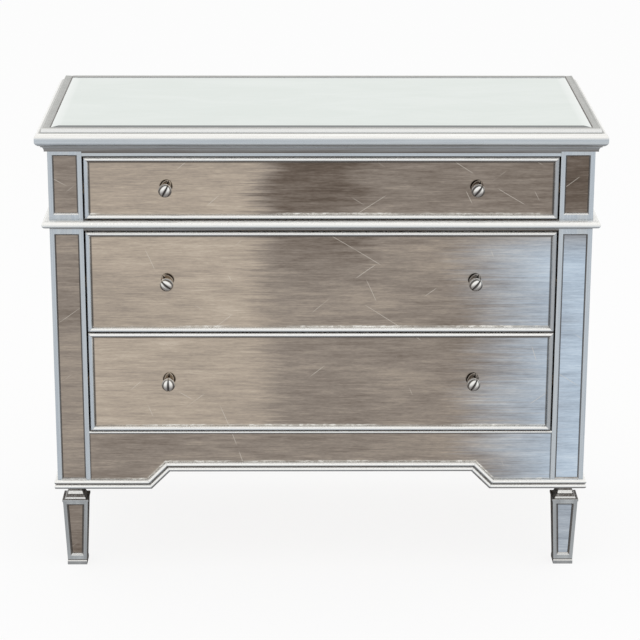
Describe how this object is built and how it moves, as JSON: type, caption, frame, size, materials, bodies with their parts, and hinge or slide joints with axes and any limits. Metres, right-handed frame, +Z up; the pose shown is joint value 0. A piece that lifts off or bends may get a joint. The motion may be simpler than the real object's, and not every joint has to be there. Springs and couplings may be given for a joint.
{
  "type": "chest of drawers",
  "caption": "Mirrored chest of drawers: silvered moulded frame, mirror-clad top, posts, apron and drawer faces, fluted ball knobs and tapered legs.",
  "frame": {"origin": "on the floor, midway across and midway between the knob tips and the back", "axes": "+X to the right as seen from the front, +Y to the back, +Z up"},
  "size_m": [1.0668, 0.5092, 0.886],
  "materials": {
    "silver_leaf": "aged silver leaf and paint over moulded wood, satin, rubbed along the edges",
    "smoke_mirror": "plain silvered glass with a faint smoky tint",
    "clear_mirror": "bevelled silvered glass, polished",
    "drawer_wood": "pale hardwood, clear satin lacquer",
    "plywood": "unfinished plywood and board",
    "polished_knob": "polished cast metal",
    "zinc_steel": "zinc-plated steel"
  },
  "bodies": {
    "case": {"apron_board": "silver_leaf", "apron_mirror": "smoke_mirror", "apron_strip": "silver_leaf", "back_panel": "plywood", "back_screws": "zinc_steel", "base_moulding": "silver_leaf", "bottom_board": "plywood", "cornice": "silver_leaf", "drawer_runners": "drawer_wood", "front_left_leg": "silver_leaf", "front_left_post": "silver_leaf", "front_right_leg": "silver_leaf", "front_right_post": "silver_leaf", "left_side_panel": "silver_leaf", "leg_bolts": "zinc_steel", "leg_mirrors": "smoke_mirror", "lower_post_mirrors": "smoke_mirror", "rear_left_leg": "silver_leaf", "rear_left_post": "silver_leaf", "rear_right_leg": "silver_leaf", "rear_right_post": "silver_leaf", "right_side_panel": "silver_leaf", "side_mirrors": "smoke_mirror", "top_board": "plywood", "top_frame_back": "silver_leaf", "top_frame_front": "silver_leaf", "top_frame_left": "silver_leaf", "top_frame_right": "silver_leaf", "top_mirror": "clear_mirror", "top_rail": "silver_leaf", "upper_post_mirrors": "smoke_mirror", "waist_moulding": "silver_leaf", "waist_rail": "silver_leaf"},
    "top_drawer": {"top_drawer_back": "drawer_wood", "top_drawer_bead": "silver_leaf", "top_drawer_bottom": "drawer_wood", "top_drawer_front": "drawer_wood", "top_drawer_knob_screws": "zinc_steel", "top_drawer_knobs": "polished_knob", "top_drawer_left_side": "drawer_wood", "top_drawer_mirror": "smoke_mirror", "top_drawer_right_side": "drawer_wood"},
    "middle_drawer": {"middle_drawer_back": "drawer_wood", "middle_drawer_bead": "silver_leaf", "middle_drawer_bottom": "drawer_wood", "middle_drawer_front": "drawer_wood", "middle_drawer_knob_screws": "zinc_steel", "middle_drawer_knobs": "polished_knob", "middle_drawer_left_side": "drawer_wood", "middle_drawer_mirror": "smoke_mirror", "middle_drawer_right_side": "drawer_wood"},
    "bottom_drawer": {"bottom_drawer_back": "drawer_wood", "bottom_drawer_bead": "silver_leaf", "bottom_drawer_bottom": "drawer_wood", "bottom_drawer_front": "drawer_wood", "bottom_drawer_knob_screws": "zinc_steel", "bottom_drawer_knobs": "polished_knob", "bottom_drawer_left_side": "drawer_wood", "bottom_drawer_mirror": "smoke_mirror", "bottom_drawer_right_side": "drawer_wood"}
  },
  "joints": [
    {"name": "top_drawer_slide", "type": "slide", "parent": "case", "child": "top_drawer", "axis": [0, -1, 0], "range_m": [0, 0.33]},
    {"name": "middle_drawer_slide", "type": "slide", "parent": "case", "child": "middle_drawer", "axis": [0, -1, 0], "range_m": [0, 0.33]},
    {"name": "bottom_drawer_slide", "type": "slide", "parent": "case", "child": "bottom_drawer", "axis": [0, -1, 0], "range_m": [0, 0.33]}
  ]
}
